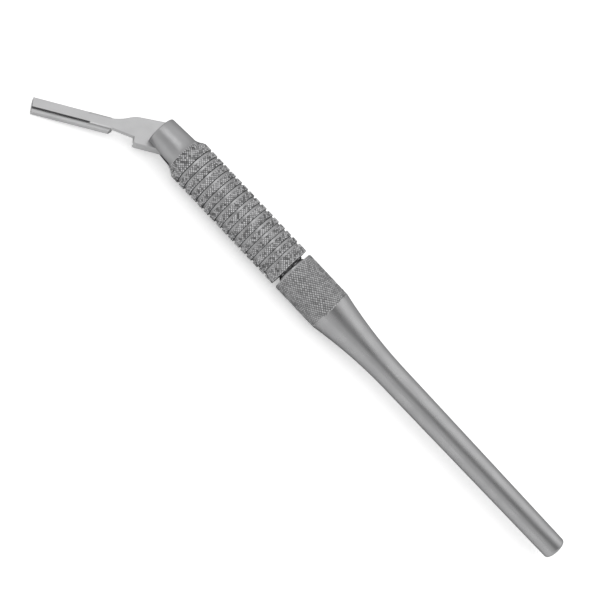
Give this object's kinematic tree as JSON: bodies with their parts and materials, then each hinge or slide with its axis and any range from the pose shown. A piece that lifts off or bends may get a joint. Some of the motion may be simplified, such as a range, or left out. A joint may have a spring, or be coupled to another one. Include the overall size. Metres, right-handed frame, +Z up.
{
  "type": "scalpel handle",
  "caption": "Round steel scalpel handle with a ribbed, knurled grip, a slim tapered tail and a flat blade carrier that swings in a slotted nose and locks by screwing.",
  "frame": {"origin": "on the table, below the middle of the part's box", "axes": "+X along the handle from the nose to the tail, +Z up; the blade carrier swings out to -Y"},
  "size_m": [0.151, 0.025, 0.0107],
  "materials": {
    "grip_steel": "satin nose, coarse crossed knurl on the ribs",
    "handle_steel": "fine crossed knurl on the barrel, smooth satin tail",
    "carrier_steel": "fine satin flats",
    "pin_steel": "ground"
  },
  "bodies": {
    "front": {"front_grip": "grip_steel", "pivot_pin": "pin_steel"},
    "carrier": {"blade_carrier": "carrier_steel"},
    "rod": {"lock_rod": "pin_steel"},
    "rear": {"rear_handle": "handle_steel"}
  },
  "joints": [
    {"name": "carrier_swing", "type": "hinge", "parent": "front", "child": "carrier", "pos_m": [-0.0514, 0.00737, 0.00371], "axis": [0, -0.1336, 0.991], "range_deg": [-39, 51]},
    {"name": "rod_travel", "type": "slide", "parent": "front", "child": "rod", "axis": [1, 0, 0], "range_m": [0, 0.00161]},
    {"name": "rear_turn", "type": "hinge", "parent": "rod", "child": "rear", "pos_m": [-0.01006, 0.00715, 0.00535], "axis": [1, 0, 0], "range_deg": [0, 720]}
  ],
  "couplings": [
    {"joint": "rod_travel", "follows": "rear_turn", "m_per_rad": 0.00012732}
  ]
}
